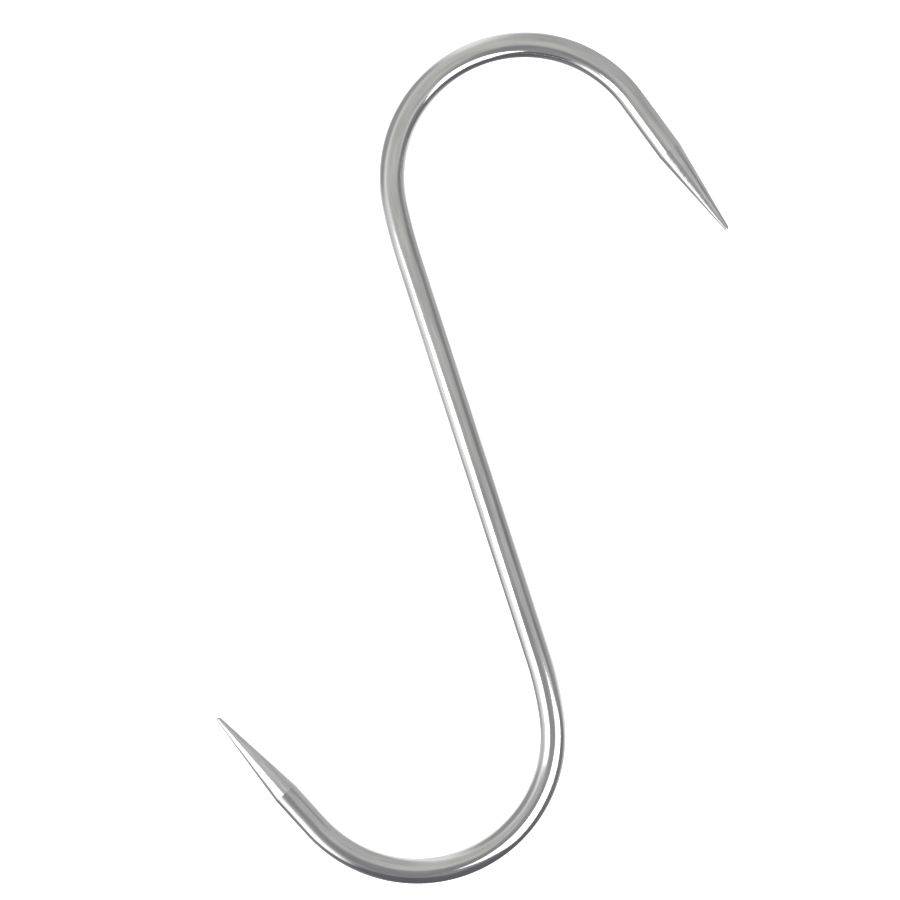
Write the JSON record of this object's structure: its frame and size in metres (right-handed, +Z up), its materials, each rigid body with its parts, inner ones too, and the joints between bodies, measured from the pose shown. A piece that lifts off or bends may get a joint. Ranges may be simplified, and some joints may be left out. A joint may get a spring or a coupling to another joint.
{
  "type": "meat hook",
  "caption": "Round stainless bar bent into an S, with open bends at top and bottom and a ground conical point on each end.",
  "frame": {"origin": "the rail's seat: the top of the upper bend's inner side, where the bar rests on the rail", "axes": "+Z up as it hangs, from the lower bend's centre to the upper one's; the hook's plane is XZ, with the upper point towards +X and the lower one towards -X; Y across the bar"},
  "size_m": [0.0966, 0.006, 0.2033],
  "materials": {
    "polished_bar": "polished stainless bar, faint draw lines along it",
    "ground_point": "ground to a cone, fine grinding lines"
  },
  "bodies": {
    "root": {"shank": "polished_bar", "upper_bend": "polished_bar", "upper_arm": "polished_bar", "upper_point": "ground_point", "lower_bend": "polished_bar", "lower_arm": "polished_bar", "lower_point": "ground_point"}
  },
  "joints": []
}
